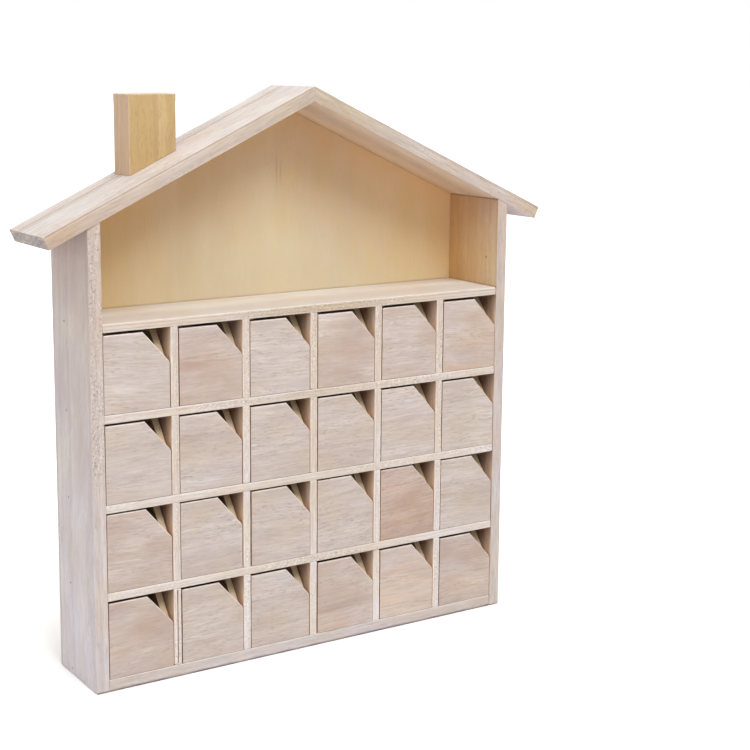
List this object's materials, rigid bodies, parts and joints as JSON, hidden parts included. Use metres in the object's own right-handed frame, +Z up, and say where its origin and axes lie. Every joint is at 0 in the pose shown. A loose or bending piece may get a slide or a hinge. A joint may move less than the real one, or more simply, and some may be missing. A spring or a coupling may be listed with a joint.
{
  "type": "wooden advent calendar",
  "caption": "House-shaped wooden advent calendar with small drawers that slide out, an open attic niche, a gable roof and a block chimney.",
  "frame": {"origin": "under the middle of the house, on the surface that it stands on", "axes": "+Z up, the front faces -Y, +X to the right as seen from the front"},
  "size_m": [0.353, 0.055, 0.3539],
  "materials": {
    "side_board": "bare planed light wood, upright grain",
    "shelf_board": "bare sawn light wood edges",
    "back_plywood": "bare thin plywood, upright grain",
    "roof_board": "bare planed light wood, edge glued",
    "chimney_block": "bare light wood block, upright grain",
    "drawer_front": "bare light wood, level grain",
    "drawer_tray": "bare thin wood",
    "brad_steel": "dull steel"
  },
  "bodies": {
    "house": {"left_side_panel": "side_board", "right_side_panel": "side_board", "bottom_board": "shelf_board", "attic_shelf": "shelf_board", "row_shelves": "shelf_board", "column_dividers": "shelf_board", "back_panel": "back_plywood", "left_roof_board": "roof_board", "right_roof_board": "roof_board", "chimney": "chimney_block", "side_brads": "brad_steel", "back_brads": "brad_steel"},
    "drawer_01": {"drawer_01_front": "drawer_front", "drawer_01_tray": "drawer_tray"},
    "drawer_02": {"drawer_02_front": "drawer_front", "drawer_02_tray": "drawer_tray"},
    "drawer_03": {"drawer_03_front": "drawer_front", "drawer_03_tray": "drawer_tray"},
    "drawer_04": {"drawer_04_front": "drawer_front", "drawer_04_tray": "drawer_tray"},
    "drawer_05": {"drawer_05_front": "drawer_front", "drawer_05_tray": "drawer_tray"},
    "drawer_06": {"drawer_06_front": "drawer_front", "drawer_06_tray": "drawer_tray"},
    "drawer_07": {"drawer_07_front": "drawer_front", "drawer_07_tray": "drawer_tray"},
    "drawer_08": {"drawer_08_front": "drawer_front", "drawer_08_tray": "drawer_tray"},
    "drawer_09": {"drawer_09_front": "drawer_front", "drawer_09_tray": "drawer_tray"},
    "drawer_10": {"drawer_10_front": "drawer_front", "drawer_10_tray": "drawer_tray"},
    "drawer_11": {"drawer_11_front": "drawer_front", "drawer_11_tray": "drawer_tray"},
    "drawer_12": {"drawer_12_front": "drawer_front", "drawer_12_tray": "drawer_tray"},
    "drawer_13": {"drawer_13_front": "drawer_front", "drawer_13_tray": "drawer_tray"},
    "drawer_14": {"drawer_14_front": "drawer_front", "drawer_14_tray": "drawer_tray"},
    "drawer_15": {"drawer_15_front": "drawer_front", "drawer_15_tray": "drawer_tray"},
    "drawer_16": {"drawer_16_front": "drawer_front", "drawer_16_tray": "drawer_tray"},
    "drawer_17": {"drawer_17_front": "drawer_front", "drawer_17_tray": "drawer_tray"},
    "drawer_18": {"drawer_18_front": "drawer_front", "drawer_18_tray": "drawer_tray"},
    "drawer_19": {"drawer_19_front": "drawer_front", "drawer_19_tray": "drawer_tray"},
    "drawer_20": {"drawer_20_front": "drawer_front", "drawer_20_tray": "drawer_tray"},
    "drawer_21": {"drawer_21_front": "drawer_front", "drawer_21_tray": "drawer_tray"},
    "drawer_22": {"drawer_22_front": "drawer_front", "drawer_22_tray": "drawer_tray"},
    "drawer_23": {"drawer_23_front": "drawer_front", "drawer_23_tray": "drawer_tray"},
    "drawer_24": {"drawer_24_front": "drawer_front", "drawer_24_tray": "drawer_tray"}
  },
  "joints": [
    {"name": "drawer_01_slide", "type": "slide", "parent": "house", "child": "drawer_01", "axis": [0, -1, 0], "range_m": [0, 0.0415]},
    {"name": "drawer_02_slide", "type": "slide", "parent": "house", "child": "drawer_02", "axis": [0, -1, 0], "range_m": [0, 0.0415]},
    {"name": "drawer_03_slide", "type": "slide", "parent": "house", "child": "drawer_03", "axis": [0, -1, 0], "range_m": [0, 0.0415]},
    {"name": "drawer_04_slide", "type": "slide", "parent": "house", "child": "drawer_04", "axis": [0, -1, 0], "range_m": [0, 0.0415]},
    {"name": "drawer_05_slide", "type": "slide", "parent": "house", "child": "drawer_05", "axis": [0, -1, 0], "range_m": [0, 0.0415]},
    {"name": "drawer_06_slide", "type": "slide", "parent": "house", "child": "drawer_06", "axis": [0, -1, 0], "range_m": [0, 0.0415]},
    {"name": "drawer_07_slide", "type": "slide", "parent": "house", "child": "drawer_07", "axis": [0, -1, 0], "range_m": [0, 0.0415]},
    {"name": "drawer_08_slide", "type": "slide", "parent": "house", "child": "drawer_08", "axis": [0, -1, 0], "range_m": [0, 0.0415]},
    {"name": "drawer_09_slide", "type": "slide", "parent": "house", "child": "drawer_09", "axis": [0, -1, 0], "range_m": [0, 0.0415]},
    {"name": "drawer_10_slide", "type": "slide", "parent": "house", "child": "drawer_10", "axis": [0, -1, 0], "range_m": [0, 0.0415]},
    {"name": "drawer_11_slide", "type": "slide", "parent": "house", "child": "drawer_11", "axis": [0, -1, 0], "range_m": [0, 0.0415]},
    {"name": "drawer_12_slide", "type": "slide", "parent": "house", "child": "drawer_12", "axis": [0, -1, 0], "range_m": [0, 0.0415]},
    {"name": "drawer_13_slide", "type": "slide", "parent": "house", "child": "drawer_13", "axis": [0, -1, 0], "range_m": [0, 0.0415]},
    {"name": "drawer_14_slide", "type": "slide", "parent": "house", "child": "drawer_14", "axis": [0, -1, 0], "range_m": [0, 0.0415]},
    {"name": "drawer_15_slide", "type": "slide", "parent": "house", "child": "drawer_15", "axis": [0, -1, 0], "range_m": [0, 0.0415]},
    {"name": "drawer_16_slide", "type": "slide", "parent": "house", "child": "drawer_16", "axis": [0, -1, 0], "range_m": [0, 0.0415]},
    {"name": "drawer_17_slide", "type": "slide", "parent": "house", "child": "drawer_17", "axis": [0, -1, 0], "range_m": [0, 0.0415]},
    {"name": "drawer_18_slide", "type": "slide", "parent": "house", "child": "drawer_18", "axis": [0, -1, 0], "range_m": [0, 0.0415]},
    {"name": "drawer_19_slide", "type": "slide", "parent": "house", "child": "drawer_19", "axis": [0, -1, 0], "range_m": [0, 0.0415]},
    {"name": "drawer_20_slide", "type": "slide", "parent": "house", "child": "drawer_20", "axis": [0, -1, 0], "range_m": [0, 0.0415]},
    {"name": "drawer_21_slide", "type": "slide", "parent": "house", "child": "drawer_21", "axis": [0, -1, 0], "range_m": [0, 0.0415]},
    {"name": "drawer_22_slide", "type": "slide", "parent": "house", "child": "drawer_22", "axis": [0, -1, 0], "range_m": [0, 0.0415]},
    {"name": "drawer_23_slide", "type": "slide", "parent": "house", "child": "drawer_23", "axis": [0, -1, 0], "range_m": [0, 0.0415]},
    {"name": "drawer_24_slide", "type": "slide", "parent": "house", "child": "drawer_24", "axis": [0, -1, 0], "range_m": [0, 0.0415]}
  ]
}
